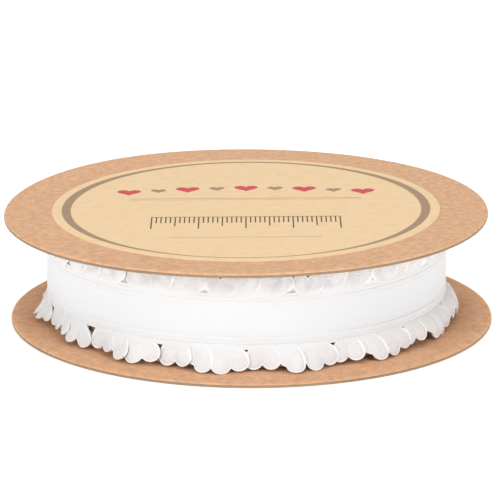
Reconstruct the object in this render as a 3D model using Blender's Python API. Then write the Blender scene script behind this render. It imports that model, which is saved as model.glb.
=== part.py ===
"""Satin ribbon with a row of cut hearts along each edge, wound on a flat cardboard reel.

The reel lies on its lower flange, its axis along +Z. Angles run round the axis from the
front (-Y) towards +X. All sizes are in metres and all angles in degrees.
"""

import math

import bmesh
import bpy

# Reel
FLANGE_RADIUS = 0.052
BOARD_THICKNESS = 0.0009
BOARD_CHAMFER = 0.00025
REEL_HEIGHT = 0.0239
FLANGE_SHIFT_X = 0.0006
UPPER_LEAN_X = 0.41
UPPER_LEAN_Y = 0.41
SEAT_GAP = 0.0003

# Round paper on the upper flange
PAPER_RADIUS = 0.0417
PAPER_THICKNESS = 0.0002

# Wound ribbon
BAND_RADIUS = 0.0432
BAND_BOTTOM = 0.0062
BAND_TOP = 0.0165
TURN_STEP = 0.0004
RIBBON_END_ANGLE = 168.0
RIBBON_END_SLOPE = 0.3
RECESS_RADIUS = 0.0400
EDGE_ROUND = 0.0003

# Rows of hearts, three overlapping hearts in each repeat
REPEATS = 15
REPEAT_ANGLE = 360.0 / REPEATS
HEART_SHEET = 0.0010
LOBE_OFFSET = 0.0019
LOBE_HALF_WIDTH = 0.0021
LOBE_DEPTH = 0.0019
OVERLAP_STEP = 0.00035
CROWN = 0.0004
COLUMN_GAP_ANGLE = 0.15
SPREAD_RADIUS = 0.0448

# Each heart's middle in the repeat, its columns of points, and its reach past the row's own
HEARTS = (
    {"centre": 4.9, "columns": 9, "added_reach": -0.0003},
    {"centre": 10.1, "columns": 5, "added_reach": 0.0003},
    {"centre": 20.5, "columns": 10, "added_reach": 0.0001},
)

# Each row's first repeat, whether it points up or down, and how it leans outwards
ROWS = (
    {"name": "hearts_lower", "first": -0.6, "up": -1, "root": BAND_BOTTOM - SEAT_GAP,
     "reach": 0.0051, "lean_root": 12.0, "lean_tip": 44.0},
    {"name": "hearts_upper", "first": 11.7, "up": 1, "root": BAND_TOP + SEAT_GAP,
     "reach": 0.0049, "lean_root": 2.0, "lean_tip": 5.0},
)

# Steps round a disc, round the wound band, and along a heart
DISC_STEPS = 96
BAND_STEPS = 90
LEAN_STEPS = 12


def clear_scene():
    for item in list(bpy.data.objects):
        bpy.data.objects.remove(item, do_unlink=True)


def make_material(name, colour, roughness):
    material = bpy.data.materials.new(name)
    material.use_nodes = True
    shader = material.node_tree.nodes["Principled BSDF"]
    shader.inputs["Base Color"].default_value = (*colour, 1.0)
    shader.inputs["Roughness"].default_value = roughness
    shader.inputs["Metallic"].default_value = 0.0
    material.diffuse_color = (*colour, 1.0)
    return material


def around(radius, angle, height, centre_x=-FLANGE_SHIFT_X):
    """The point at this radius, angle and height round the reel's axis."""
    turn = math.radians(angle)
    return (centre_x + radius * math.sin(turn), -radius * math.cos(turn), height)


def object_from_rings(name, rings, material, closed):
    """Joins rings of points into one body: closed into a loop, or capped at both ends."""
    mesh_maker = bmesh.new()
    loops = [[mesh_maker.verts.new(point) for point in ring] for ring in rings]
    pairs = list(zip(loops, loops[1:]))
    if closed:
        pairs.append((loops[-1], loops[0]))
    else:
        mesh_maker.faces.new(loops[0])
        mesh_maker.faces.new(loops[-1])
    count = len(loops[0])
    for near, far in pairs:
        for i in range(count):
            after = (i + 1) % count
            mesh_maker.faces.new((near[i], near[after], far[after], far[i]))
    bmesh.ops.recalc_face_normals(mesh_maker, faces=mesh_maker.faces)
    mesh = bpy.data.meshes.new(name)
    mesh_maker.to_mesh(mesh)
    mesh_maker.free()
    mesh.materials.append(material)
    mesh.shade_smooth()
    mesh.set_sharp_from_angle(angle=math.radians(35))
    piece = bpy.data.objects.new(name, mesh)
    bpy.context.scene.collection.objects.link(piece)
    return piece


def round_disc(name, radius, thickness, chamfer, material):
    """A disc on its own origin with its upper edge broken by a chamfer."""
    profile = [(radius, 0.0)]
    if chamfer:
        profile.append((radius, thickness - chamfer))
    profile.append((radius - chamfer, thickness))
    angles = [360.0 * i / DISC_STEPS for i in range(DISC_STEPS)]
    rings = [[around(r, angle, z, 0.0) for angle in angles] for r, z in profile]
    return object_from_rings(name, rings, material, closed=False)


def upper_plane(x, y):
    """How far the leaning upper flange rises above its middle at this place."""
    rise_x = x + FLANGE_SHIFT_X
    return rise_x * math.tan(math.radians(UPPER_LEAN_X)) + y * math.tan(math.radians(UPPER_LEAN_Y))


def build_flanges(board):
    lower = round_disc("flange_lower", FLANGE_RADIUS, BOARD_THICKNESS, BOARD_CHAMFER, board)
    lower.location = (FLANGE_SHIFT_X, 0.0, 0.0)
    upper = round_disc("flange_upper", FLANGE_RADIUS, BOARD_THICKNESS, BOARD_CHAMFER, board)
    upper.location = (-FLANGE_SHIFT_X, 0.0, REEL_HEIGHT - BOARD_THICKNESS)
    upper.rotation_euler = (math.radians(UPPER_LEAN_Y), -math.radians(UPPER_LEAN_X), 0.0)
    return upper


def build_paper(paper, upper_flange):
    disc = round_disc("paper_disc", PAPER_RADIUS, PAPER_THICKNESS, 0.0, paper)
    disc.parent = upper_flange
    disc.location = (0.0, 0.0, BOARD_THICKNESS + SEAT_GAP)


def band_radius(angle):
    """The outer turn of the winding, which steps down where the ribbon's end lies."""
    turned = ((angle - RIBBON_END_ANGLE) % 360.0) / 360.0
    return BAND_RADIUS - TURN_STEP * (1.0 - turned)


def build_winding(satin):
    """The wound ribbon as one solid: a satin band with a recess behind each row of hearts."""
    bottom = BOARD_THICKNESS + SEAT_GAP
    top = REEL_HEIGHT - BOARD_THICKNESS - SEAT_GAP
    step = (360.0 - RIBBON_END_SLOPE) / (BAND_STEPS - 1)
    angles = [RIBBON_END_ANGLE + step * i for i in range(BAND_STEPS)]

    def recess_ring(height, follows_flange=False):
        points = []
        for angle in angles:
            x, y, z = around(RECESS_RADIUS, angle, height)
            points.append((x, y, z + upper_plane(x, y) if follows_flange else z))
        return points

    def band_ring(height, inset=0.0):
        return [around(band_radius(angle) - inset, angle, height) for angle in angles]

    rings = [
        recess_ring(bottom),
        recess_ring(BAND_BOTTOM),
        band_ring(BAND_BOTTOM, EDGE_ROUND),
        band_ring(BAND_BOTTOM + EDGE_ROUND),
        band_ring(BAND_TOP - EDGE_ROUND),
        band_ring(BAND_TOP, EDGE_ROUND),
        recess_ring(BAND_TOP),
        recess_ring(top, follows_flange=True),
    ]
    object_from_rings("ribbon_winding", rings, satin, closed=False)


def lobe_height(across):
    """Shape of a heart's two lobes: 1 at a lobe's middle, 0 at the heart's rim."""
    offset = (abs(across) - LOBE_OFFSET) / LOBE_HALF_WIDTH
    return math.sqrt(max(0.0, 1.0 - offset * offset))


def heart_columns():
    """One repeat's columns: angle, reach past the row's own, and how far each stands out.

    Each heart lies over the left side of the next one, and its right side stands out more.
    """
    half_width = LOBE_OFFSET + LOBE_HALF_WIDTH
    half_angle = math.degrees(half_width / SPREAD_RADIUS)
    start = HEARTS[-1]["centre"] + half_angle - REPEAT_ANGLE
    columns = []
    for number, heart in enumerate(HEARTS):
        is_last = number == len(HEARTS) - 1
        neighbour = HEARTS[0] if is_last else HEARTS[number + 1]
        neighbour_centre = neighbour["centre"] + (REPEAT_ANGLE if is_last else 0.0)
        first = start + COLUMN_GAP_ANGLE
        stop = heart["centre"] + half_angle
        for i in range(heart["columns"]):
            angle = first + (stop - first) * i / (heart["columns"] - 1)
            across = math.radians(angle - heart["centre"]) * SPREAD_RADIUS
            behind = math.radians(angle - neighbour_centre) * SPREAD_RADIUS
            reach = max(
                LOBE_DEPTH * (lobe_height(across) - 1.0) + heart["added_reach"],
                LOBE_DEPTH * (lobe_height(behind) - 1.0) + neighbour["added_reach"],
            )
            right_share = (across + half_width) / (2.0 * half_width)
            stands_out = OVERLAP_STEP * right_share + CROWN * lobe_height(across)
            columns.append({"angle": angle, "reach": reach, "stands_out": stands_out})
        start = stop
    return columns


def leaning_point(row, distance):
    """Radius and height at this distance from the root, along the row's outward curve."""
    radius = BAND_RADIUS
    height = row["root"]
    for i in range(LEAN_STEPS):
        along = (i + 0.5) / LEAN_STEPS * distance / row["reach"]
        lean = math.radians(row["lean_root"] + (row["lean_tip"] - row["lean_root"]) * along)
        radius += math.sin(lean) * distance / LEAN_STEPS
        height += row["up"] * math.cos(lean) * distance / LEAN_STEPS
    return radius, height


def build_hearts(row, voile):
    """One row: a strip along the ribbon's edge that ends in the hearts' lobes."""
    columns = []
    for repeat in range(REPEATS):
        for column in heart_columns():
            angle = row["first"] + repeat * REPEAT_ANGLE + column["angle"]
            columns.append({**column, "angle": angle})

    def ring(share, depth):
        points = []
        for column in columns:
            full = row["reach"] + column["reach"]
            radius, height = leaning_point(row, full * share)
            radius += column["stands_out"] * share - depth
            points.append(around(radius, column["angle"], height))
        return points

    rings = [ring(0.0, 0.0), ring(0.5, 0.0), ring(1.0, 0.0), ring(1.0, HEART_SHEET), ring(0.5, HEART_SHEET),
             ring(0.0, HEART_SHEET)]
    object_from_rings(row["name"], rings, voile, closed=True)


def build_reel():
    clear_scene()
    board = make_material("kraft_board", (0.72, 0.45, 0.26), 0.85)
    paper = make_material("cream_paper", (0.86, 0.68, 0.40), 0.75)
    satin = make_material("white_satin", (0.92, 0.92, 0.91), 0.45)
    voile = make_material("white_voile", (0.90, 0.90, 0.90), 0.70)
    upper_flange = build_flanges(board)
    build_paper(paper, upper_flange)
    build_winding(satin)
    for row in ROWS:
        build_hearts(row, voile)


build_reel()
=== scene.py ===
import math
import random

import bmesh
import bpy
from mathutils import Euler, Matrix, Vector


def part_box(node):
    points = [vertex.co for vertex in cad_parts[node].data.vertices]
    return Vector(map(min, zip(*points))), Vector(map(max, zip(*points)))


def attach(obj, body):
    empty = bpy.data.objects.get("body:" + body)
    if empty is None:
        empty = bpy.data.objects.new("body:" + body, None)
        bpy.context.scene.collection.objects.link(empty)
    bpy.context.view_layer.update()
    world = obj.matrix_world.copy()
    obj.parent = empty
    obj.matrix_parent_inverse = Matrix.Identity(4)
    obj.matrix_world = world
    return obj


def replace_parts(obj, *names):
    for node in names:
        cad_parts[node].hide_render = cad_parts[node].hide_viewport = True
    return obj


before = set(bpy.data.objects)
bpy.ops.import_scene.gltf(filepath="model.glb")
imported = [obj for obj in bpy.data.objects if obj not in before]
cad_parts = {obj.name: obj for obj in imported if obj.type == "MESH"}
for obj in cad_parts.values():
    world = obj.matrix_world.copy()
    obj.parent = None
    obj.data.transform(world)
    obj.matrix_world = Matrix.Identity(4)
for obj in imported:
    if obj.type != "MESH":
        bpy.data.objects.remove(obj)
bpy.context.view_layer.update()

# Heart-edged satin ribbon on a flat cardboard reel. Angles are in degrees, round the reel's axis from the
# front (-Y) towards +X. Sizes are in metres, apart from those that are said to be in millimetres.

MM = 0.001

# Places taken from the frame
LOWER_LOW, LOWER_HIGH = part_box("flange_lower")
UPPER_LOW, UPPER_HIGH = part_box("flange_upper")
FLANGE_RADIUS = (LOWER_HIGH.x - LOWER_LOW.x) / 2
LOWER_X = (LOWER_HIGH.x + LOWER_LOW.x) / 2
AXIS_X = (UPPER_HIGH.x + UPPER_LOW.x) / 2
BOARD = LOWER_HIGH.z - LOWER_LOW.z

# The reel and the winding, as they are built
REEL_HEIGHT = 23.9 * MM
UPPER_LEAN_X = 0.41
UPPER_LEAN_Y = 0.41
PAPER_RADIUS = 41.7 * MM
BAND_RADIUS = 43.2 * MM
BAND_BOTTOM = 6.2 * MM
BAND_TOP = 16.5 * MM
TURN_STEP = 0.4 * MM
RIBBON_END_ANGLE = 168.0
WALL_RADIUS = 41.9 * MM
REPEATS = 15
REPEAT_ANGLE = 360.0 / REPEATS

# Where the upper board lies
LID = (
    Matrix.Translation((AXIS_X, 0.0, REEL_HEIGHT - BOARD))
    @ Euler((math.radians(UPPER_LEAN_Y), -math.radians(UPPER_LEAN_X), 0.0)).to_matrix().to_4x4()
)

# The top of the range that the phase of a wave is drawn from
ANY_PHASE = 6.28


def around(radius, angle, height, centre_x=AXIS_X):
    """The point at this radius, angle and height round the reel's axis."""
    turn = math.radians(angle)
    return Vector((centre_x + radius * math.sin(turn), -radius * math.cos(turn), height))


def smooth(x):
    """A soft step from 0 at 0 to 1 at 1."""
    x = min(1.0, max(0.0, x))
    return x * x * (3.0 - 2.0 * x)


def bell(x):
    """1 at 0, and less and less to both sides."""
    return math.exp(-x ** 2)


def step(side, start, width, amount):
    """Rises softly from 0 to this amount, from the start angle over this width."""
    return amount * smooth((side - start) / width)


def between(side, start, rise, stop, fall):
    """1 between two angles and 0 outside them, with a soft step over the given width at each."""
    return smooth((side - start) / rise) * (1.0 - smooth((side - stop) / fall))


def at_sides(angle):
    """0 at the reel's front and back, 1 at its left and right."""
    return smooth((abs(math.sin(math.radians(angle))) - 0.35) / 0.35)


# Materials

class Nodes:
    """A short way to write a material's nodes and links."""

    def __init__(self, name):
        self.material = bpy.data.materials.new(name)
        self.material.use_nodes = True
        self.tree = self.material.node_tree
        self.shader = self.tree.nodes["Principled BSDF"]

    def add(self, kind, inputs=None, **settings):
        node = self.tree.nodes.new(kind)
        for key, value in settings.items():
            setattr(node, key, value)
        for key, value in (inputs or {}).items():
            socket = node.inputs[key]
            if isinstance(value, bpy.types.NodeSocket):
                self.tree.links.new(value, socket)
            else:
                socket.default_value = value
        return node

    def math(self, operation, first, second=0.0):
        return self.add("ShaderNodeMath", {0: first, 1: second}, operation=operation).outputs[0]

    def stretched(self, scale=(1.0, 1.0, 1.0), source="Object"):
        """Coordinates scaled by their own factor along each axis."""
        place = self.add("ShaderNodeTexCoord").outputs[source]
        return self.add("ShaderNodeMapping", {"Vector": place, "Scale": scale}).outputs[0]

    def noise(self, vector, scale, detail=3.0, roughness=0.55):
        inputs = {"Vector": vector, "Scale": scale, "Detail": detail, "Roughness": roughness}
        return self.add("ShaderNodeTexNoise", inputs).outputs["Fac"]

    def threads(self, vector, scale, wander, direction):
        """Parallel threads that wander a little from their line."""
        inputs = {"Vector": vector, "Scale": scale, "Distortion": wander, "Detail": 1.0}
        return self.add("ShaderNodeTexWave", inputs, bands_direction=direction).outputs["Fac"]

    def attribute(self, name):
        """The number of this name that the mesh carries at each of its points."""
        return self.add("ShaderNodeAttribute", attribute_name=name).outputs["Fac"]

    def ramp(self, value, low, high, first, second):
        """Colours first to second as value goes from low to high."""
        node = self.add("ShaderNodeValToRGB", {"Fac": value})
        node.color_ramp.elements[0].position = low
        node.color_ramp.elements[1].position = high
        node.color_ramp.elements[0].color = (*first, 1.0)
        node.color_ramp.elements[1].color = (*second, 1.0)
        return node.outputs["Color"]

    def mix(self, factor, first, second, blend="MIX"):
        """A mix of two colours, which the node takes at its sockets 6 and 7."""
        inputs = {"Factor": factor, 6: first, 7: second}
        return self.add("ShaderNodeMix", inputs, data_type="RGBA", blend_type=blend).outputs[2]

    def bump(self, height, distance, strength):
        inputs = {"Height": height, "Distance": distance, "Strength": strength}
        return self.add("ShaderNodeBump", inputs).outputs["Normal"]

    def finish(self, colour, roughness, normal=None, **fixed):
        for socket, value in (("Base Color", colour), ("Roughness", roughness), ("Normal", normal)):
            if isinstance(value, bpy.types.NodeSocket):
                self.tree.links.new(value, self.shader.inputs[socket])
            elif value is not None:
                self.shader.inputs[socket].default_value = value
        for name, value in fixed.items():
            self.shader.inputs[name.replace("_", " ")].default_value = value
        return self.material


def kraft_material():
    """Brown recycled board: soft mottling, fine fibres lying mostly one way, and flecks."""
    n = Nodes("kraft_board")
    flat = n.stretched()
    mottle = n.noise(flat, 700.0, 4.0, 0.62)
    fibre = n.noise(n.stretched((1.0, 5.0, 1.0)), 2200.0, 5.0, 0.7)
    fleck = n.noise(flat, 5200.0, 2.0, 0.5)
    colour = n.ramp(mottle, 0.30, 0.72, (0.620, 0.352, 0.194), (0.830, 0.508, 0.305))
    fibres = n.ramp(fibre, 0.30, 0.70, (0.85, 0.84, 0.83), (1.12, 1.11, 1.10))
    colour = n.mix(1.0, colour, fibres, "MULTIPLY")
    flecks = n.ramp(fleck, 0.62, 0.74, (1.0, 1.0, 1.0), (0.80, 0.77, 0.74))
    colour = n.mix(0.7, colour, flecks, "MULTIPLY")
    normal = n.bump(n.math("ADD", fibre, n.math("MULTIPLY", mottle, 1.5)), 0.06 * MM, 0.6)
    return n.finish(colour, 0.86, normal)


def board_edge_material():
    """The board's cut edge: darker layers of pulp, pressed together."""
    n = Nodes("kraft_cut_edge")
    layers = n.noise(n.stretched((60.0, 60.0, 3200.0)), 1.0, 3.0, 0.6)
    torn = n.noise(n.stretched(), 2600.0, 4.0, 0.7)
    colour = n.ramp(layers, 0.25, 0.75, (0.280, 0.195, 0.125), (0.470, 0.335, 0.215))
    worn = n.ramp(torn, 0.35, 0.75, (0.72, 0.70, 0.68), (1.12, 1.10, 1.08))
    colour = n.mix(1.0, colour, worn, "MULTIPLY")
    return n.finish(colour, 0.92, n.bump(n.math("ADD", layers, torn), 0.10 * MM, 0.8))


# How the paper's laid grain is stretched
PAPER_GRAIN = (240.0, 2600.0, 1.0)


def paper_material():
    """Cream paper with a faint laid grain."""
    n = Nodes("cream_paper")
    laid = n.noise(n.stretched(PAPER_GRAIN), 1.0, 3.0, 0.6)
    cloud = n.noise(n.stretched(), 420.0, 3.0, 0.6)
    colour = n.ramp(laid, 0.30, 0.70, (0.828, 0.602, 0.356), (0.889, 0.668, 0.411))
    clouds = n.ramp(cloud, 0.30, 0.70, (0.96, 0.96, 0.95), (1.03, 1.03, 1.03))
    colour = n.mix(1.0, colour, clouds, "MULTIPLY")
    return n.finish(colour, 0.90, n.bump(laid, 0.03 * MM, 0.4), Specular_IOR_Level=0.25)


def ink_material(name, colour):
    """Printing ink that lets a little of the paper's grain through."""
    n = Nodes(name)
    grain = n.noise(n.stretched(PAPER_GRAIN), 1.0, 3.0, 0.6)
    light = tuple(min(1.0, c * 1.12) for c in colour)
    dark = tuple(c * 0.90 for c in colour)
    return n.finish(n.ramp(grain, 0.30, 0.70, dark, light), 0.65)


def satin_material():
    """White satin: fine floats lying along the ribbon, with a soft sheen and painted shade as grey lines in
    the grooves by its edges.
    """
    n = Nodes("white_satin")
    floats = n.noise(n.stretched((1400.0, 9000.0, 1.0), "UV"), 1.0, 2.0, 0.5)
    threads = n.threads(n.stretched(source="UV"), 190.0, 0.6, "Y")
    height = n.math("ADD", floats, n.math("MULTIPLY", threads, 0.5))
    colour = n.ramp(floats, 0.25, 0.75, (0.722, 0.757, 0.782), (0.744, 0.779, 0.804))
    # Grey painted shade in the grooves by the woven edges, as much as each point's lines number says
    colour = n.mix(n.attribute("lines"), colour, (0.300, 0.300, 0.310, 1.0))
    normal = n.bump(height, 0.008 * MM, 0.4)
    return n.finish(colour, 0.42, normal, Sheen_Weight=0.25, Sheen_Roughness=0.4)


# The share of light that comes through a face of the voile, and how much of it a rim and ribbed cloth stop
VOILE_THROUGH = 0.30
STOPPED_BY_RIM = 0.85
STOPPED_BY_RIBS = 0.8


def voile_material(name, shaded):
    """Sheer white voile: two sets of fine threads, with light coming through, and soft mottled patches of
    painted shade, as if from folds.
    """
    n = Nodes(name)
    place = n.stretched(source="UV")
    across = n.threads(place, 6.6, 0.5, "X")
    along = n.threads(place, 9.4, 0.4, "Y")
    weave = n.math("ADD", n.math("MULTIPLY", across, 0.7), n.math("MULTIPLY", along, 0.3))
    ribs_and_shade = n.attribute("ribs_and_shade")
    rim = n.attribute("rim")
    root = n.attribute("root")
    # The voile's ribs: their dark threads are partly the weave and partly painted shade, shown on the reel's
    # right side
    ribbed_and_shaded = n.ramp(weave, 0.28, 0.72, (0.70, 0.715, 0.735), (1.0, 1.0, 1.0))
    # Soft patches of painted shade, as if from folds, deeper by the shaded amount
    cloud = n.noise(n.stretched(), 380.0, 2.0, 0.5)
    fold_shade = n.ramp(cloud, 0.36, 0.62, (1.0 - shaded, 1.0 - shaded, 1.0 - shaded * 0.94), (1.0, 1.0, 1.0))
    colour = n.mix(ribs_and_shade, (0.950, 0.976, 0.993, 1.0), ribbed_and_shaded)
    # The rim painted paler: partly the sealed edge's own whiteness, partly a painted highlight
    colour = n.mix(rim, colour, (1.0, 1.0, 1.0, 1.0))
    colour = n.mix(1.0, colour, fold_shade, "MULTIPLY")
    # Painted shade near the root, by the band's edge
    colour = n.mix(root, colour, (0.755, 0.785, 0.803, 1.0))
    # Painted shade: at the outer roots of the upper under-sheets, and along the upper row's seam
    colour = n.mix(n.attribute("under"), colour, (0.36, 0.35, 0.34, 1.0))
    normal = n.bump(n.math("MULTIPLY", weave, ribs_and_shade), 0.10 * MM, 0.5)
    n.finish(colour, 0.60, normal, Sheen_Weight=0.2)
    past_rim = n.math("SUBTRACT", 1.0, n.math("MULTIPLY", rim, STOPPED_BY_RIM))
    past_ribs = n.math("SUBTRACT", 1.0, n.math("MULTIPLY", ribs_and_shade, STOPPED_BY_RIBS))
    thin = n.math("MULTIPLY", past_rim, past_ribs)
    open_share = n.math("MULTIPLY", n.math("SUBTRACT", 1.0, root), thin)
    share = n.math("MULTIPLY", open_share, VOILE_THROUGH)
    through = n.add("ShaderNodeBsdfTranslucent", {"Color": colour, "Normal": normal}).outputs["BSDF"]
    both = n.add("ShaderNodeMixShader", {0: share, 1: n.shader.outputs["BSDF"], 2: through})
    n.tree.links.new(both.outputs["Shader"], n.tree.nodes["Material Output"].inputs["Surface"])
    return n.material


KRAFT = kraft_material()
KRAFT_EDGE = board_edge_material()
PAPER = paper_material()
RING_INK = ink_material("ring_ink", (0.390, 0.262, 0.165))
DARK_INK = ink_material("dark_ink", (0.120, 0.075, 0.050))
RED_INK = ink_material("red_ink", (0.640, 0.085, 0.105))
SATIN = satin_material()
# One cloth in two copies: the upper row's has more painted shade, as it lies under the upper board
VOILE_LOWER = voile_material("white_voile_lower", 0.03)
VOILE_UPPER_SHADED = voile_material("white_voile_upper_shaded", 0.16)


# Meshes

# Faces that meet at more than this angle keep a crisp edge
CRISP_ANGLE = 50.0


def make_piece(name, shape, materials, is_cloth=False):
    """A finished piece of the object, with cloth coordinates if its weave shows."""
    mesh = bpy.data.meshes.new(name)
    mesh.from_pydata([tuple(p) for p in shape.points], [], shape.faces)
    for material in materials:
        mesh.materials.append(material)
    mesh.polygons.foreach_set("material_index", shape.face_materials)
    if is_cloth:
        layer = mesh.uv_layers.new(name="cloth")
        for loop in mesh.loops:
            layer.data[loop.index].uv = shape.uvs[loop.vertex_index]
    mesh.shade_smooth()
    mesh.set_sharp_from_angle(angle=math.radians(CRISP_ANGLE))
    mesh.validate()
    piece = bpy.data.objects.new(name, mesh)
    bpy.context.scene.collection.objects.link(piece)
    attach(piece, "root")
    return piece


def mark_points(piece, name, values):
    """Gives each point of a piece a number that its material reads."""
    piece.data.attributes.new(name, "FLOAT", "POINT").data.foreach_set("value", values)


class Shape:
    """Gathers points, cloth coordinates, faces and the faces' materials for one piece."""

    def __init__(self):
        self.points = []
        self.uvs = []
        self.faces = []
        self.face_materials = []

    def face(self, numbers, material=0):
        self.faces.append(tuple(numbers))
        self.face_materials.append(material)

    def join(self, near, far, material=0, close=True):
        """A row of quads between two rows of points."""
        width = len(near)
        for c in range(width if close else width - 1):
            after = (c + 1) % width
            self.face((near[c], near[after], far[after], far[c]), material)

    def grid(self, rows, uvs=None, close=False, materials=None):
        """Adds a sheet of quads from rows of points, and returns the numbers of its points."""
        start = len(self.points)
        width = len(rows[0])
        for row in rows:
            self.points.extend(row)
        for row in (uvs or [[(0.0, 0.0)] * width] * len(rows)):
            self.uvs.extend(row)
        numbers = [[start + r * width + c for c in range(width)] for r in range(len(rows))]
        for near, far, material in zip(numbers, numbers[1:], materials or [0] * len(rows)):
            self.join(near, far, material, close)
        return numbers

    def close_ends(self, numbers, top=0, bottom=0):
        """Flat faces over a grid's last row and under its first one."""
        self.face(numbers[-1], top)
        self.face(reversed(numbers[0]), bottom)

    def join_sheets(self, front, back):
        """Quads round the rim of two grids that lie over each other."""
        last_row = len(front) - 1
        last_column = len(front[0]) - 1
        rim = [(0, c) for c in range(last_column + 1)]
        rim += [(r, last_column) for r in range(1, last_row + 1)]
        rim += [(last_row, c) for c in range(last_column - 1, -1, -1)]
        rim += [(r, 0) for r in range(last_row - 1, 0, -1)]
        for (r0, c0), (r1, c1) in zip(rim, rim[1:] + rim[:1]):
            self.face((front[r0][c0], back[r0][c0], back[r1][c1], front[r1][c1]))


# Boards

BOARD_STEPS = 300
BOARD_PROFILE = (
    # share of the thickness, inset from the rim
    (0.00, 0.14 * MM),
    (0.08, 0.05 * MM),
    (0.22, 0.01 * MM),
    (0.38, 0.00 * MM),
    (0.52, 0.01 * MM),
    (0.66, 0.05 * MM),
    (0.78, 0.12 * MM),
    (0.88, 0.24 * MM),
    (0.96, 0.44 * MM),
    (1.00, 0.72 * MM),
)
# Rows of the profile that show the cut edge
CUT_ROWS = 5
BOARD_INNER_RADII = tuple(r * MM for r in (50.0, 48.5, 47.0, 45.5, 44.0, 42.5, 40.0, 30.0, 15.0))

# How uneven the cut edge is: its depth, and how many waves of how many turns it is made of
CUT_DEPTH = 0.03 * MM
CUT_WAVES = 14
CUT_WAVE_TURNS = (3, 40)

# Where the rim of the upper board is bent up: angle, width in degrees, and height
UPPER_BENDS = ((-143.0, 34.0, 0.44 * MM), (0.0, 38.0, 0.38 * MM))


def bend(bends, radius, angle):
    """How far the board outside the paper is bent up here."""
    share = smooth((radius - PAPER_RADIUS) / (FLANGE_RADIUS - PAPER_RADIUS))
    away = [((angle - middle + 180.0) % 360.0 - 180.0) / width for middle, width, _ in bends]
    return share * sum(height * bell(a) for a, (_, _, height) in zip(away, bends))


def make_board(name, node, place, seed, bends=()):
    """A die-cut disc of board: its upper rim pressed round, its cut edge a little uneven."""
    draw = random.Random(seed)
    waves = [(draw.uniform(0, ANY_PHASE), draw.randint(*CUT_WAVE_TURNS)) for _ in range(CUT_WAVES)]
    angles = [360.0 * i / BOARD_STEPS for i in range(BOARD_STEPS)]
    uneven = [
        sum(math.sin(math.radians(a) * turns + phase) for phase, turns in waves) / CUT_WAVES
        for a in angles
    ]

    def ring(radius, height, depth=0.0):
        return [
            place @ around(radius + depth * (out - 1.0), a, height + bend(bends, radius, a), 0.0)
            for a, out in zip(angles, uneven)
        ]

    shape = Shape()
    rows = [ring(FLANGE_RADIUS - inset, BOARD * share, CUT_DEPTH) for share, inset in BOARD_PROFILE]
    rows += [ring(radius, BOARD) for radius in BOARD_INNER_RADII]
    edge = shape.grid(rows[:CUT_ROWS], close=True, materials=[1] * CUT_ROWS)
    top = shape.grid(rows[CUT_ROWS:], close=True)
    shape.join(edge[-1], top[0], material=1)
    shape.face(top[-1])
    below = shape.grid([ring(radius, 0.0) for radius in reversed(BOARD_INNER_RADII)], close=True)
    shape.join(below[-1], edge[0])
    shape.face(reversed(below[0]))
    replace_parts(make_piece(name, shape, [KRAFT, KRAFT_EDGE]), node)


# Paper and print

PAPER_STEPS = 240
PAPER_THICKNESS = 0.14 * MM
PAPER_PROFILE = (
    # radius, share of the thickness
    (PAPER_RADIUS, 0.0),
    (PAPER_RADIUS, 0.7),
    (PAPER_RADIUS - 0.05 * MM, 1.0),
    (PAPER_RADIUS - 0.15 * MM, 1.0),
    (PAPER_RADIUS * 0.6, 1.0),
)
PRINT_LIFT = 0.012 * MM
PRINT_BASE = BOARD + PAPER_THICKNESS


def make_paper():
    """The round paper on the upper board."""
    shape = Shape()
    angles = [360.0 * i / PAPER_STEPS for i in range(PAPER_STEPS)]
    rows = [
        [LID @ around(radius, a, BOARD + PAPER_THICKNESS * share, 0.0) for a in angles]
        for radius, share in PAPER_PROFILE
    ]
    shape.close_ends(shape.grid(rows, close=True))
    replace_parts(make_piece("paper_round", shape, [PAPER]), "paper_disc")


def make_print(name, outlines, material):
    """Flat inked shapes on the paper, each a filled outline with a little thickness."""
    shape = Shape()
    for outline in outlines:
        low = [LID @ Vector((x, y, PRINT_BASE - PRINT_LIFT)) for x, y in outline]
        high = [LID @ Vector((x, y, PRINT_BASE + PRINT_LIFT)) for x, y in outline]
        shape.close_ends(shape.grid([low, high], close=True))
    make_piece(name, shape, [material])


# The printed ring is thick at its sides and thin at the front and back, because its hole is an ellipse
RING_RADIUS = 39.6 * MM
RING_HOLE_X = 37.65 * MM
RING_HOLE_Y = 38.95 * MM
RING_HOLE_SHIFT_Y = -0.30 * MM
RING_STEPS = 240


def ring_row(radius_x, radius_y, shift_y, lift):
    """One edge of the printed ring."""
    turns = (2.0 * math.pi * i / RING_STEPS for i in range(RING_STEPS))
    return [
        LID @ Vector((radius_x * math.sin(t), -radius_y * math.cos(t) + shift_y, PRINT_BASE + lift))
        for t in turns
    ]


def make_ring():
    """The printed ring round the paper."""
    rim = (RING_RADIUS, RING_RADIUS, 0.0)
    hole = (RING_HOLE_X, RING_HOLE_Y, RING_HOLE_SHIFT_Y)
    edges = ((rim, -PRINT_LIFT), (rim, PRINT_LIFT), (hole, PRINT_LIFT), (hole, -PRINT_LIFT))
    shape = Shape()
    numbers = shape.grid([ring_row(*size, lift) for size, lift in edges], close=True)
    shape.join(numbers[-1], numbers[0])
    make_piece("printed_ring", shape, [RING_INK])


def heart_outline(middle_x, middle_y, width, steps=40):
    """The usual heart curve, this wide, its point towards -Y."""
    size = width / 32.0
    points = []
    for i in range(steps):
        t = 2.0 * math.pi * i / steps
        x = 16.0 * math.sin(t) ** 3
        y = 13.0 * math.cos(t) - 5.0 * math.cos(2 * t) - 2.0 * math.cos(3 * t) - math.cos(4 * t)
        points.append((middle_x + x * size, middle_y + y * size))
    points.reverse()
    return points


def bar(x0, y0, x1, y1):
    return [(x0, y0), (x1, y0), (x1, y1), (x0, y1)]


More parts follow.
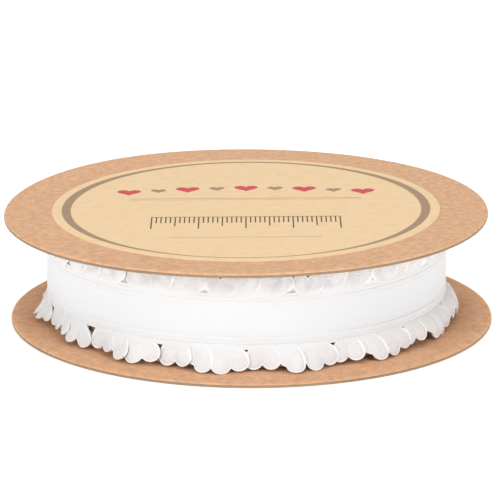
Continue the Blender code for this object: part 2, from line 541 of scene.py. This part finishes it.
# The printed hearts: how many each side of the middle one, their pitch, place and widths
HEARTS_EACH_SIDE = 4
PRINTED_PITCH = 6.4 * MM
PRINTED_Y = 13.0 * MM
PRINTED_BOW = 3.0 * MM
RED_WIDTH = 5.2 * MM
GREY_WIDTH = 3.4 * MM
RULES = (
    # half-length, from y, to y
    (25.0 * MM, 7.2 * MM, 7.5 * MM),
    (25.0 * MM, 6.2 * MM, 6.35 * MM),
    (16.0 * MM, -24.0 * MM, -23.8 * MM),
)
# The ruler's ticks hang from a bar: the number each side of the middle one, and their sizes
TICKS_EACH_SIDE = 20
TICK_PITCH = 1.0 * MM
TICK_HALF_WIDTH = 0.14 * MM
TICK_TOP_Y = -8.0 * MM
TICK_BAR_X = 20.2 * MM
TICK_BAR_Y = -7.7 * MM


def tick_length(i):
    """Every tenth tick is the longest, and those half-way between are middling."""
    return (9.0 if i % 10 == 0 else 7.0 if i % 5 == 0 else 4.5) * MM


def make_prints():
    """A plain printed pattern: a bow of hearts between rules, over a row of ruler ticks."""
    make_ring()
    red = []
    grey = []
    for i in range(-HEARTS_EACH_SIDE, HEARTS_EACH_SIDE + 1):
        x = i * PRINTED_PITCH
        y = PRINTED_Y + PRINTED_BOW * math.cos(i / HEARTS_EACH_SIDE * math.pi / 2)
        if i % 2 == 0:
            red.append(heart_outline(x, y, RED_WIDTH))
        else:
            grey.append(heart_outline(x, y, GREY_WIDTH))
    make_print("printed_hearts_red", red, RED_INK)
    make_print("printed_hearts_grey", grey, RING_INK)
    make_print("printed_rules", [bar(-half, low, half, high) for half, low, high in RULES], RING_INK)
    ticks = []
    for i in range(-TICKS_EACH_SIDE, TICKS_EACH_SIDE + 1):
        x = i * TICK_PITCH
        ticks.append(bar(x - TICK_HALF_WIDTH, TICK_TOP_Y - tick_length(i), x + TICK_HALF_WIDTH, TICK_TOP_Y))
    ticks.append(bar(-TICK_BAR_X, TICK_TOP_Y, TICK_BAR_X, TICK_BAR_Y))
    make_print("printed_ticks", ticks, DARK_INK)


# The wound ribbon

BAND_STEPS = 720
BAND_SPAN = 359.9
BAND_THICKNESS = 0.22 * MM
BAND_PROFILE = (
    # height above the band's lower edge and how far it stands out, in millimetres
    (0.22, 0.00),
    (0.30, 0.03),
    (0.44, 0.05),
    (0.60, 0.04),
    (0.72, 0.02),
    (0.80, 0.01),
    (0.92, 0.03),
    (1.10, 0.05),
    (1.40, 0.05),
    (1.60, 0.04),
    (1.70, 0.02),
    (1.80, -0.02),
    (1.90, 0.02),
    (2.10, 0.05),
    (3.60, 0.05),
    (5.15, 0.05),
    (6.70, 0.05),
    (8.10, 0.05),
    (8.32, 0.04),
    (8.50, 0.06),
    (8.80, 0.05),
    (9.44, 0.02),
    (9.54, -0.02),
    (9.64, 0.02),
    (9.82, 0.05),
    (10.06, 0.05),
    (10.22, 0.03),
    (10.30, 0.00),
)
BAND_FULL_HEIGHT = BAND_PROFILE[-1][0]
# Painted shade in the grooves between the woven edges and the satin, which shows most at the reel's sides:
# the grooves' height in the profile, and how dark the shade is at the front, at the left and at the right
EDGE_GROOVE_SHADES = {
    0.80: (0.04, 0.10, 0.25),
    1.80: (0.05, 0.14, 0.80),
    9.54: (0.16, 0.28, 0.72),
    8.50: (0.05, 0.16, 0.18),
}
NO_GROOVE_SHADE = (0.0, 0.0, 0.0)

# How the ribbon's edges wander up and down: height, waves round the reel, and phase in radians
EDGE_WAVES = ((0.09 * MM, 2, 3.4), (0.04 * MM, 5, 2.0), (-0.05 * MM, 1, 0.0))
# The upper edge rises in two steps on the reel's right side, and comes down again towards the back
TOP_RISES = ((8.0, 45.0, 0.50 * MM), (55.0, 30.0, 0.35 * MM))
TOP_FALL = (110.0, 55.0, 1.0)


def groove_shade_at(height, angle, draw):
    """How much painted shade a groove by a woven edge gets at this place, uneven from thread to thread."""
    front, left, right = EDGE_GROOVE_SHADES.get(height, NO_GROOVE_SHADE)
    side = right if math.sin(math.radians(angle)) > 0.0 else left
    return (front + (side - front) * at_sides(angle)) * draw.uniform(0.6, 1.1)


def band_radius(angle):
    """The outer turn's radius, which grows from the ribbon's covered start to its loose end."""
    turned = ((angle - RIBBON_END_ANGLE) % 360.0) / 360.0
    return BAND_RADIUS - TURN_STEP * (1.0 - turned)


def band_wander(angle):
    """How far the ribbon's edges are up or down here."""
    turn = math.radians(angle)
    return sum(height * math.sin(waves * turn + phase) for height, waves, phase in EDGE_WAVES)


def top_rise(angle):
    """How much higher the ribbon's upper edge is, on the reel's right side."""
    side = (angle + 180.0) % 360.0 - 180.0
    return sum(step(side, *rise) for rise in TOP_RISES) * (1.0 - step(side, *TOP_FALL))


def band_height(height, angle):
    """Where this height on the flat band, in millimetres, lies on the reel."""
    return BAND_BOTTOM + height * MM + height / BAND_FULL_HEIGHT * top_rise(angle) + band_wander(angle)


def make_band():
    """The ribbon's outer turn, stepped where it ends."""
    shape = Shape()
    draw = random.Random(17)
    outer, inner, uvs, lines = [], [], [], []
    angles = [RIBBON_END_ANGLE + BAND_SPAN * i / (BAND_STEPS - 1) for i in range(BAND_STEPS)]
    for height, out in BAND_PROFILE:
        outer_row, inner_row, uv_row = [], [], []
        for angle in angles:
            z = band_height(height, angle)
            radius = band_radius(angle)
            outer_row.append(around(radius + out * MM, angle, z))
            inner_row.append(around(radius - BAND_THICKNESS, angle, z))
            uv_row.append((math.radians(angle) * BAND_RADIUS, height * MM))
            lines.append(groove_shade_at(height, angle, draw))
        outer.append(outer_row)
        inner.append(inner_row)
        uvs.append(uv_row)
    front = shape.grid(outer, uvs)
    back = shape.grid([list(reversed(row)) for row in inner], uvs)
    last = BAND_STEPS - 1
    for r in range(len(BAND_PROFILE) - 1):
        shape.face((front[r][last], back[r][0], back[r + 1][0], front[r + 1][last]))
        shape.face((back[r][last], front[r][0], front[r + 1][0], back[r + 1][last]))
    for c in range(last):
        shape.face((back[0][last - c], back[0][last - c - 1], front[0][c + 1], front[0][c]))
        shape.face((front[-1][c], front[-1][c + 1], back[-1][last - c - 1], back[-1][last - c]))
    piece = make_piece("satin_outer_turn", shape, [SATIN], is_cloth=True)
    # The outer face carries the painted groove shade, the inner face none
    mark_points(piece, "lines", lines + [0.0] * len(lines))
    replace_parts(piece, "ribbon_winding")
    return piece


STITCH_LINES = (
    # height above the band's lower edge, thickness, pitch and how far it stands out, in millimetres
    (0.50, 0.05, 0.50, 0.02),
    (1.24, 0.04, 0.42, 0.02),
    (8.60, 0.04, 0.36, 0.02),
    (9.30, 0.04, 0.42, 0.02),
    (9.98, 0.05, 0.50, 0.03),
)
STITCH_SAMPLES = 4
STITCH_SIDES = 6
# Where the lines of stitches start past the ribbon's end, and how far round they run
STITCH_START = 0.2
STITCH_SPAN = 359.5
# How thin a stitch is at its ends, and where along a stitch the lines start, in radians
STITCH_WAIST = 0.62
STITCH_PHASE = 0.4


def make_stitches():
    """Fine corded lines along both woven edges: rows of small beads of thread."""
    shape = Shape()
    length = 2.0 * math.pi * BAND_RADIUS
    for height, thickness, pitch, out in STITCH_LINES:
        count = int(length / (pitch * MM)) * STITCH_SAMPLES
        rows = []
        for side in range(STITCH_SIDES):
            spin = 2.0 * math.pi * side / STITCH_SIDES
            row = []
            for i in range(count):
                angle = RIBBON_END_ANGLE + STITCH_START + STITCH_SPAN * i / (count - 1)
                swell = abs(math.sin(math.pi * i / STITCH_SAMPLES + STITCH_PHASE))
                half = thickness * MM * (STITCH_WAIST + (1.0 - STITCH_WAIST) * swell)
                z = band_height(height, angle) + half * math.sin(spin)
                row.append(around(band_radius(angle) + out * MM + half * math.cos(spin), angle, z))
            rows.append(row)
        numbers = shape.grid(rows)
        shape.join(numbers[-1], numbers[0], close=False)
        shape.face([row[0] for row in reversed(numbers)])
        shape.face([row[-1] for row in numbers])
    return make_piece("woven_edge_stitches", shape, [SATIN])


def turns_material(name, dark, light):
    """The turns behind the outer one, seen end on through the gaps between the hearts."""
    n = Nodes(name)
    turns = n.noise(n.stretched((300.0, 300.0, 2400.0)), 1.0, 3.0, 0.6)
    return n.finish(n.ramp(turns, 0.3, 0.7, dark, light), 0.9)


INNER_STEPS = 180
INNER_RADIUS = BAND_RADIUS - TURN_STEP - BAND_THICKNESS - 0.1 * MM
INNER_BEVEL = 0.3 * MM
WALL_GAP = 0.3 * MM
# The parts of the turns' wall, in the order of their materials: a band at the foot coloured like brightly lit
# board, as painted light bounced under the hearts; the lower turns; the upper turns, painted greyer as shade;
# and painted shade in the gaps behind the lower hearts' roots
LIT_KRAFT_BAND, LOWER_WALL, SHADED_UPPER_WALL, GAP_SHADE = range(4)
INNER_PROFILE = (
    # radius, height, and the part of the wall that starts there
    (WALL_RADIUS, BOARD + WALL_GAP, LIT_KRAFT_BAND),
    (WALL_RADIUS, BOARD + 1.5 * MM, LOWER_WALL),
    (WALL_RADIUS, BAND_BOTTOM - 1.9 * MM, GAP_SHADE),
    (WALL_RADIUS, BAND_BOTTOM + 0.15 * MM, LOWER_WALL),
    (INNER_RADIUS - INNER_BEVEL, BAND_BOTTOM + 0.15 * MM, LOWER_WALL),
    (INNER_RADIUS, BAND_BOTTOM + 0.45 * MM, LOWER_WALL),
    (INNER_RADIUS, BAND_TOP - 0.45 * MM, SHADED_UPPER_WALL),
    (INNER_RADIUS - INNER_BEVEL, BAND_TOP - 0.15 * MM, SHADED_UPPER_WALL),
    (WALL_RADIUS, BAND_TOP - 0.15 * MM, SHADED_UPPER_WALL),
    (WALL_RADIUS, REEL_HEIGHT - BOARD - 2.0 * WALL_GAP - 0.3 * MM, SHADED_UPPER_WALL),
)


def make_inner_turns():
    """The turns under the outer one, with their own hearts as a plain wall behind each row."""
    shape = Shape()
    rows = [[around(r, 360.0 * i / INNER_STEPS, z) for i in range(INNER_STEPS)] for r, z, _ in INNER_PROFILE]
    numbers = shape.grid(rows, close=True, materials=[part for _, _, part in INNER_PROFILE])
    shape.close_ends(numbers, top=SHADED_UPPER_WALL, bottom=LIT_KRAFT_BAND)
    materials = [
        # A band coloured like brightly lit board: painted light, bounced under the hearts
        turns_material("lit_kraft_band", (0.800, 0.500, 0.290), (0.900, 0.590, 0.360)),
        turns_material("lower_turns", (0.800, 0.795, 0.790), (0.880, 0.875, 0.870)),
        # The upper turns, painted greyer as shade under the upper board
        turns_material("shaded_upper_turns", (0.680, 0.680, 0.685), (0.800, 0.800, 0.805)),
        # Painted shade in the gaps behind the lower hearts' roots
        turns_material("gap_shade", (0.190, 0.135, 0.090), (0.340, 0.245, 0.165)),
    ]
    return make_piece("inner_turns", shape, materials)


# Hearts

HEART_THICKNESS = 0.13 * MM
LOBE_OFFSET = 1.9 * MM
LOBE_HALF_WIDTH = 2.1 * MM
LOBE_DEPTH = 1.9 * MM
HALF_WIDTH = LOBE_OFFSET + LOBE_HALF_WIDTH
LOBE_STEPS = 15
CLEFT_TURN = -58.0
# The length over which a heart widens from its root, and the length of a degree at the hearts' middle
SIDE_LENGTH = 3.5 * MM
DEGREE = math.radians(1.0) * 45.0 * MM
# The rows of a heart's points, closer together towards its tip
HEIGHT_SHARES = (
    0.0, 0.07, 0.14, 0.21, 0.28, 0.36, 0.44, 0.52, 0.60, 0.67,
    0.74, 0.80, 0.85, 0.89, 0.925, 0.95, 0.97, 0.985, 1.0,
)
LEAN_STEPS = 8
# Cloth coordinates to a metre, which set the scale of the threads
CLOTH_SCALE = 100.0

# A heart's rim is thicker than the rest, and paler: partly the sealed edge's own whiteness, partly a painted
# highlight
RIM_EXTRA = 0.06 * MM
RIM_WIDTH = 0.16 * MM
RIM_PALE_WIDTH = 0.22 * MM
# Pressed lines and folds that follow a heart's rim: distance inside it, depth, width
RIM_LINES = (
    (0.42 * MM, -0.09 * MM, 0.12 * MM),
    (0.75 * MM, 0.05 * MM, 0.13 * MM),
    (1.08 * MM, -0.06 * MM, 0.17 * MM),
)
# How far a heart's middle surface is from where the row hangs, the height of its soft waves, and their length
# in radians to a millimetre
HEART_LIFT = 0.03 * MM
WAVE_HEIGHT = 0.08 * MM
WAVE_LENGTH = 1.3

# The share of a heart's height that its root takes, painted darker as shade near the band's edge, and how
# much of that painted shade goes where the cloth is ribbed
ROOT_SHARE = 0.50
ROOT_FADE = 0.8
# The seam is the third row of a heart's points
SEAM_ROW = 2
SEAM_SHADE = 0.10
UNDER_SHADE = 0.55
# Where the ribs of the voile show, on the reel's right side: the weave's relief, with its threads painted
# darker as shade between them
RIBS_WITH_SHADE_SIDE = (26.0, 24.0, 150.0, 40.0)
RIBS_WITH_SHADE = 0.72

# A repeat has a straight heart and a pair that swings apart. Each has its middle in the repeat, half-widths
# at the root and at the lobes to the left and right, and how far it swings to the right, all in degrees. Then
# come its reach past the row's own, how much longer its left lobe is, and how far behind the others it lies.
HEARTS = (
    {"centre": 5.0, "root": (2.6, 3.0), "wide": (4.8, 4.9), "swing": 0.0,
     "added_reach": -0.50 * MM, "left_lobe": 0.0, "behind": 0.0},
    {"centre": 12.0, "root": (3.4, 1.3), "wide": (4.8, 4.8), "swing": -13.0,
     "added_reach": 0.05 * MM, "left_lobe": -1.5 * MM, "behind": 0.0},
    {"centre": 18.8, "root": (5.0, 3.0), "wide": (4.8, 4.8), "swing": 13.0,
     "added_reach": 0.10 * MM, "left_lobe": 0.0, "behind": 0.0},
)
# The turn below, seen between the hearts, is one wide sheet a repeat. In the upper row it is wider still.
UNDER_SHEET = {"centre": 12.2, "root": (9.6, 9.8), "wide": (9.8, 9.6), "swing": 0.0,
               "added_reach": -1.7 * MM, "left_lobe": 0.0, "behind": 0.34 * MM}
UNDER_WIDER = 2.6

# How the hearts of the lower row turn out round the front, from one repeat to the next: the repeat's number,
# then each heart's turn round the reel in degrees and its reach past the others', in millimetres
LOWER_TURNS = {
    -4: ((0.0, -0.30), (0.0, -0.40), (-0.5, -0.55)),
    -3: ((-0.3, -0.60), (-0.1, -1.45), (-0.2, -0.80)),
    -2: ((0.3, -0.35), (0.0, -0.35), (-0.2, -0.35)),
    -1: ((0.0, 0.08), (0.0, 0.10), (0.4, 0.15)),
    0: ((0.0, 0.05), (0.6, 0.15), (1.4, -0.25)),
    1: ((0.2, -0.30), (1.0, -0.20), (2.0, -0.55)),
    2: ((0.2, -0.60), (1.3, -0.40), (1.3, -0.10)),
    3: ((0.2, -0.10), (0.5, -0.15), (0.5, -0.20)),
}
# Right-hand lobes of the lower row that reach further: by repeat, and heart in the repeat
LONGER_LOBES = {(-3, 2): 0.9 * MM}
# The share of a changed left lobe that the upper row shows
UPPER_LOBE_SHARE = 0.2

# Each row: its first angle, whether its hearts point up (1) or down (-1), where they start, how far they go,
# how they lean outwards, how much the lean changes from place to place and from root to tip, and how far a
# heart is tilted and cupped
ROWS = (
    {"name": "hearts_lower", "seed": 7, "cloth": VOILE_LOWER, "first": -0.6, "up": -1,
     "root": BAND_BOTTOM + 0.2 * MM, "reach": 5.65 * MM, "lean": 20.0, "ruffle": 11.0, "spread": 8.0,
     "tilt": 0.46 * MM, "crown": 0.36 * MM},
    {"name": "hearts_upper", "seed": 11, "cloth": VOILE_UPPER_SHADED, "first": 12.2, "up": 1,
     "root": BAND_TOP - 0.04 * MM, "reach": 5.2 * MM, "lean": 2.5, "ruffle": 1.5, "spread": 5.0,
     "tilt": 0.42 * MM, "crown": 0.46 * MM},
)

# The ruffle leans out most at this angle of each repeat
RUFFLE_PEAK = 15.3
# The lower row bulges on the reel's right side: where, how much that calms the ruffle, how far it turns the
# tips in, and what is added to that and to the lean further round (start, width, degrees)
BULGE_SIDE = (20.0, 45.0, 120.0, 60.0)
BULGE_CALM = 0.6
BULGE_TURN = 36.0
FAR_TURN = (55.0, 25.0, 14.0)
FAR_LEAN = (60.0, 16.0, 3.0)
# At the front left the lower row hangs steeper: middle, width, degrees
STEEP_LEFT = (308.0, 24.0, 5.0)

STRIP_STEPS = 360
STRIP_WIDTH = 1.10 * MM
STRIP_SHARES = (-0.3, 0.2, 0.7, 1.0)
STRIP_FRONT = -0.09 * MM
STRIP_BACK = -0.20 * MM
# Where the lower row's strip is narrower, so that the gaps between the hearts are open: angle, width
TORN_PLACES = ((311.0, 9.0), (24.0, 6.0), (49.0, 8.0))
TORN_SHARE = 0.45
# The upper row's strip is narrower too, but less so where the ribbon's edge rises
UNTORN_SHARE = 0.35
UNTORN_RISE = 0.3 * MM


def lobe_columns():
    """Across a heart, from -1 to 1: where each column ends on the lobes, close together at the rims."""
    columns = []
    for i in range(LOBE_STEPS):
        share = i / (LOBE_STEPS - 1)
        turn = math.radians(90.0 + (CLEFT_TURN - 90.0) * share)
        across = LOBE_OFFSET + LOBE_HALF_WIDTH * math.sin(turn)
        end = LOBE_DEPTH * (math.cos(turn) - 1.0)
        columns.append((across / HALF_WIDTH, end))
    left = [(-across, end) for across, end in columns]
    return left + list(reversed(columns))


def heart_columns(row, heart, right_lobe):
    """The same with the heart's own left and right lobes, which may be shorter or longer."""
    left_lobe = heart["left_lobe"] * (1.0 if row["up"] < 0 else UPPER_LOBE_SHARE)
    return [
        (u, end + left_lobe * smooth((0.12 - u) / 0.5) + right_lobe * smooth(u / 0.45))
        for u, end in lobe_columns()
    ]


def hang_at(row, angle, change):
    """The lean at the root and at the tips: the row is ruffled, and bulges on the reel's right side."""
    ruffle = row["ruffle"] * math.cos(2.0 * math.pi * (angle - row["first"] - RUFFLE_PEAK) / REPEAT_ANGLE)
    lean = row["lean"] + change
    spread = row["spread"]
    if row["up"] < 0:
        side = angle % 360.0
        bulge = between(side, *BULGE_SIDE)
        middle, width, steeper = STEEP_LEFT
        ruffle *= 1.0 - BULGE_CALM * bulge
        lean += step(side, *FAR_LEAN) * bulge - steeper * bell((side - middle) / width)
        spread -= (BULGE_TURN + step(side, *FAR_TURN)) * bulge
    return lean + ruffle - spread, lean + ruffle + spread


def leaning_path(row, hang, angle, distance):
    """Radius, height and lean at this distance from the row's root."""
    radius = band_radius(angle) - 0.02 * MM
    height = row["root"] + band_wander(angle) + (top_rise(angle) if row["up"] > 0 else 0.0)
    lean_from, lean_to = hang
    for i in range(LEAN_STEPS):
        along = (i + 0.5) / LEAN_STEPS * distance
        lean = math.radians(lean_from + (lean_to - lean_from) * along / row["reach"])
        radius += math.sin(lean) * distance / LEAN_STEPS
        height += row["up"] * math.cos(lean) * distance / LEAN_STEPS
    return radius, height, math.radians(lean_from + (lean_to - lean_from) * distance / row["reach"])


def cloth_point(row, change, angle, across, distance, lift):
    """A point of a row's cloth: across and along it, and this far above its middle surface.

    The change is added to the row's own lean.
    """
    hang = hang_at(row, angle + math.degrees(across / BAND_RADIUS), change)
    radius, height, lean = leaning_path(row, hang, angle, distance)
    radius_there = radius + lift * math.cos(lean)
    z = height - row["up"] * lift * math.sin(lean)
    return around(radius_there, angle + math.degrees(across / radius), z)


def inside_rim(from_side, from_end):
    """How far inside the rim a point is, rounded where the side and the end meet."""
    least = 1e-6
    return 1.0 / (1.0 / max(from_side, least) ** 3 + 1.0 / max(from_end, least) ** 3) ** (1 / 3)


def cupped(u, share):
    """The share of its crown by which a heart stands out here."""
    lobe = max(0.0, 1.0 - ((abs(u) * HALF_WIDTH - LOBE_OFFSET) / LOBE_HALF_WIDTH) ** 2)
    return lobe * math.sin(math.pi * min(1.0, share * 0.66 + 0.04))


def pressed(inside, share):
    """How far the lines and folds along the rim lift the cloth, this far inside it."""
    lift = sum(depth * bell((inside - inset) / width) for inset, depth, width in RIM_LINES)
    return lift * smooth(share * 3.0 - 0.5)


def thread_place(across, distance, spin):
    """Cloth coordinates, turned because each heart is cut in its own direction."""
    return (
        (across * math.cos(spin) - distance * math.sin(spin)) * CLOTH_SCALE,
        (across * math.sin(spin) + distance * math.cos(spin)) * CLOTH_SCALE,
    )


def upper_shade(is_under, angle, u, r):
    """How dark a point of the upper row is: at the outer roots of the under-sheets, and along the seam."""
    shade = SEAM_SHADE * at_sides(angle) if r == SEAM_ROW else 0.0
    if is_under:
        at_root = 1.0 - smooth((HEIGHT_SHARES[r] - 0.3) / 0.2)
        shade += UNDER_SHADE * smooth((abs(u) - 0.72) / 0.12) * at_root
    return shade


def add_heart(shape, row, angle, heart, draw, added_reach, right_lobe):
    """One cut heart as a thin closed sheet: cupped lobes, pressed lines inside its rim, a thick pale rim, its
    paleness partly a painted highlight.

    Returns how much of a rib weave the cloth shows, with painted shade among its threads, and for each point:
    how pale its rim is, partly as a painted highlight; how close it is to the root, which sets its painted
    root shade; and how much painted shade it has.
    """
    is_upper = row["up"] > 0
    is_under = heart["behind"] > 0.0
    change = 0.0 if is_under else draw.uniform(-1.0, 1.0)
    tilt = 0.0 if is_under else row["tilt"] * draw.uniform(0.9, 1.15)
    crown = row["crown"] * draw.uniform(0.5, 1.3)
    curl = draw.uniform(-0.15, 0.15) * MM
    size = draw.uniform(0.97, 1.03)
    spin = math.radians(draw.uniform(-60.0, 60.0))
    swing = math.sin(math.radians(heart["swing"] + (0.0 if is_under else draw.uniform(-2.0, 2.0))))
    phase = draw.uniform(0.0, ANY_PHASE)
    ribs_with_shade_here = between(angle % 360.0, *RIBS_WITH_SHADE_SIDE)
    ribs_and_shade = draw.uniform(0.0, 0.10) + RIBS_WITH_SHADE * ribs_with_shade_here
    reach = row["reach"] + heart["added_reach"] + added_reach - (top_rise(angle) if is_upper else 0.0)
    wider = UNDER_WIDER if is_under and is_upper else 0.0
    columns = heart_columns(row, heart, right_lobe)
    front, back, uvs, rims, roots, unders = [], [], [], [], [], []
    for r, share in enumerate(HEIGHT_SHARES):
        grow = smooth(share * 1.4)
        widen = math.sin(math.pi / 2 * min(1.0, share * (reach - LOBE_DEPTH) / SIDE_LENGTH))
        halves = [(a + (b * size - a) * widen + wider) * DEGREE for a, b in zip(heart["root"], heart["wide"])]
        behind = heart["behind"] * (0.45 + 0.55 * smooth(share * 2.5))
        front_row, back_row, uv_row = [], [], []
        for u, end in columns:
            half = halves[0] if u < 0.0 else halves[1]
            across = u * half
            distance = share * (reach + end)
            inside = inside_rim((1.0 - abs(u)) * half, (1.0 - share) * (reach + end))
            lift = HEART_LIFT + tilt * u * 0.5 * grow - behind
            lift += crown * cupped(u, share) * grow
            lift += curl * share ** 3
            lift += WAVE_HEIGHT * math.sin(across / MM * WAVE_LENGTH + phase) * grow
            lift += pressed(inside, share)
            rim = RIM_EXTRA * bell(inside / RIM_WIDTH) * smooth(share * 4.0)
            sideways = across + distance * swing * grow
            hanging = distance - across * swing * grow
            front_row.append(cloth_point(row, change, angle, sideways, hanging, lift + rim))
            back_row.append(cloth_point(row, change, angle, sideways, hanging, lift - HEART_THICKNESS - rim))
            uv_row.append(thread_place(across, distance, spin))
            # Painted rim highlight
            rims.append(bell(inside / RIM_PALE_WIDTH) * smooth(share * 5.0))
            # How much painted root shade a point gets, less where the cloth is ribbed
            roots.append((1.0 - smooth(share / ROOT_SHARE)) * (1.0 - ROOT_FADE * ribs_with_shade_here))
            unders.append(upper_shade(is_under, angle, u, r) if is_upper else 0.0)
        front.append(front_row)
        back.append(back_row)
        uvs.append(uv_row)
    shape.join_sheets(shape.grid(front, uvs), shape.grid(back, uvs))
    return ribs_and_shade, rims + rims, roots + roots, unders + unders


def strip_width(row, angle):
    """How wide the strip is here: less where the gaps between the hearts are open."""
    if row["up"] > 0:
        torn = TORN_SHARE - UNTORN_SHARE * smooth(top_rise(angle) / UNTORN_RISE)
    else:
        torn = TORN_SHARE * sum(bell((angle - middle) / width) for middle, width in TORN_PLACES)
    return STRIP_WIDTH * (1.0 - torn)


def make_strip(shape, row):
    """The narrow strip of voile that all the hearts of a row are cut from."""
    angles = [360.0 * i / STRIP_STEPS for i in range(STRIP_STEPS)]

    def ring(share, lift):
        return [cloth_point(row, 0.0, a, 0.0, share * strip_width(row, a), lift) for a in angles]

    rows = [ring(share, STRIP_FRONT) for share in STRIP_SHARES]
    rows += [ring(share, STRIP_BACK) for share in reversed(STRIP_SHARES)]
    uvs = [
        [(math.radians(a) * BAND_RADIUS * CLOTH_SCALE, share * STRIP_WIDTH * CLOTH_SCALE) for a in angles]
        for share in STRIP_SHARES
    ]
    numbers = shape.grid(rows, uvs + list(reversed(uvs)), close=True)
    shape.join(numbers[-1], numbers[0])


def orient_outwards(piece):
    """Makes all faces of a piece look outwards."""
    maker = bmesh.new()
    maker.from_mesh(piece.data)
    bmesh.ops.recalc_face_normals(maker, faces=maker.faces)
    maker.to_mesh(piece.data)
    maker.free()


def make_hearts(row):
    """A row of hearts round the reel, on its strip."""
    draw = random.Random(row["seed"])
    shape = Shape()
    make_strip(shape, row)
    strip_points = len(shape.points)
    ribs_and_shade = [0.0] * strip_points
    rims = [0.0] * strip_points
    # The strip gets the root's painted shade all over
    roots = [1.0] * strip_points
    unders = [0.0] * strip_points
    for repeat in range(REPEATS):
        number = repeat if repeat < REPEATS / 2 else repeat - REPEATS
        usual = tuple((draw.uniform(-0.5, 0.5), draw.uniform(-0.35, 0.05)) for _ in HEARTS)
        turns = LOWER_TURNS.get(number, usual) if row["up"] < 0 else usual
        parts = zip((*HEARTS, UNDER_SHEET), (*turns, (0.0, 0.0)))
        for place, (heart, (turned, added)) in enumerate(parts):
            angle = row["first"] + repeat * REPEAT_ANGLE + heart["centre"] + turned
            longer = LONGER_LOBES.get((number, place), 0.0) if row["up"] < 0 else 0.0
            ribbed_and_shaded, pale, near, below = add_heart(shape, row, angle, heart, draw, added * MM, longer)
            ribs_and_shade.extend([ribbed_and_shaded] * len(pale))
            rims.extend(pale)
            roots.extend(near)
            unders.extend(below)
    piece = make_piece(row["name"] + "_voile", shape, [row["cloth"]], is_cloth=True)
    mark_points(piece, "ribs_and_shade", ribs_and_shade)
    mark_points(piece, "rim", rims)
    mark_points(piece, "root", roots)
    mark_points(piece, "under", unders)
    orient_outwards(piece)
    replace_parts(piece, row["name"])
    return piece


# Camera, light and floor

CAMERA_DISTANCE = 667.5 * MM
CAMERA_ELEVATION = 15.7
CAMERA_CLIP = (0.01, 20.0)
AIM_RIGHT = 0.86 * MM
AIM_UP = 2.42 * MM
# The camera's lens and sensor are in millimetres
CAMERA_LENS = 222.3
CAMERA_SENSOR = 36.0

LIGHT_SIZE = 0.9
LIGHT_TARGET = Vector((0.0, 0.0, 0.01))
LIGHTS = (
    # name, place, power in watts
    ("left", (-1.50, -1.30, 0.72), 17.4),
    ("right", (1.50, -1.30, 0.72), 14.9),
    ("front", (0.0, -1.10, 1.86), 9.0),
    ("top", (0.0, 0.35, 2.14), 12.4),
)
WHITE = (1.0, 1.0, 1.0, 1.0)
WORLD_STRENGTH = 0.38
FLOOR_HALF = 6.0
FLOOR_DROP = 0.05 * MM


def make_camera():
    """The photo's camera, fitted to the boards' outlines."""
    middle = Vector((AXIS_X, 0.0, REEL_HEIGHT / 2))
    turn = math.radians(CAMERA_ELEVATION)
    back = Vector((0.0, -math.cos(turn), math.sin(turn)))
    up = Vector((0.0, math.sin(turn), math.cos(turn)))
    data = bpy.data.cameras.new("camera")
    data.lens = CAMERA_LENS
    data.sensor_width = CAMERA_SENSOR
    data.clip_start, data.clip_end = CAMERA_CLIP
    camera = bpy.data.objects.new("camera", data)
    camera.location = middle + back * CAMERA_DISTANCE
    aim = middle + Vector((AIM_RIGHT, 0.0, 0.0)) + up * AIM_UP
    camera.rotation_mode = "QUATERNION"
    camera.rotation_quaternion = (aim - camera.location).to_track_quat("-Z", "Y")
    bpy.context.scene.collection.objects.link(camera)
    bpy.context.scene.camera = camera


def add_area_light(name, place, power):
    """A soft square light that looks at the reel."""
    data = bpy.data.lights.new(name, "AREA")
    data.shape = "SQUARE"
    data.size = LIGHT_SIZE
    data.energy = power
    light = bpy.data.objects.new(name, data)
    light.location = place
    light.rotation_mode = "QUATERNION"
    light.rotation_quaternion = (LIGHT_TARGET - Vector(place)).to_track_quat("-Z", "Y")
    bpy.context.scene.collection.objects.link(light)


def floor_material():
    """A pale plain floor that glows a little."""
    n = Nodes("pale_floor")
    cloud = n.noise(n.stretched(), 6.0, 2.0, 0.5)
    colour = n.ramp(cloud, 0.3, 0.7, (0.95, 0.95, 0.95), (0.97, 0.97, 0.97))
    return n.finish(colour, 0.9, Emission_Color=WHITE, Emission_Strength=0.35)


def make_floor():
    """A square floor just below the reel."""
    mesh = bpy.data.meshes.new("floor")
    corners = [(x, y, 0) for x, y in bar(-FLOOR_HALF, -FLOOR_HALF, FLOOR_HALF, FLOOR_HALF)]
    mesh.from_pydata(corners, [], [(0, 1, 2, 3)])
    mesh.materials.append(floor_material())
    floor = bpy.data.objects.new("floor", mesh)
    floor.location.z = -FLOOR_DROP
    bpy.context.scene.collection.objects.link(floor)


def make_studio():
    """White surroundings, four soft lights and the floor."""
    world = bpy.data.worlds.new("studio")
    world.use_nodes = True
    background = world.node_tree.nodes["Background"]
    background.inputs["Color"].default_value = WHITE
    background.inputs["Strength"].default_value = WORLD_STRENGTH
    bpy.context.scene.world = world
    for name, place, power in LIGHTS:
        add_area_light(name, place, power)
    bpy.context.scene.view_settings.view_transform = "Standard"
    make_floor()


make_camera()
make_studio()
make_board("board_lower", "flange_lower", Matrix.Translation((LOWER_X, 0.0, 0.0)), 3)
make_board("board_upper", "flange_upper", LID, 5, UPPER_BENDS)
make_paper()
make_prints()
band = make_band()
stitches = make_stitches()
inner_turns = make_inner_turns()
rows = [make_hearts(row) for row in ROWS]
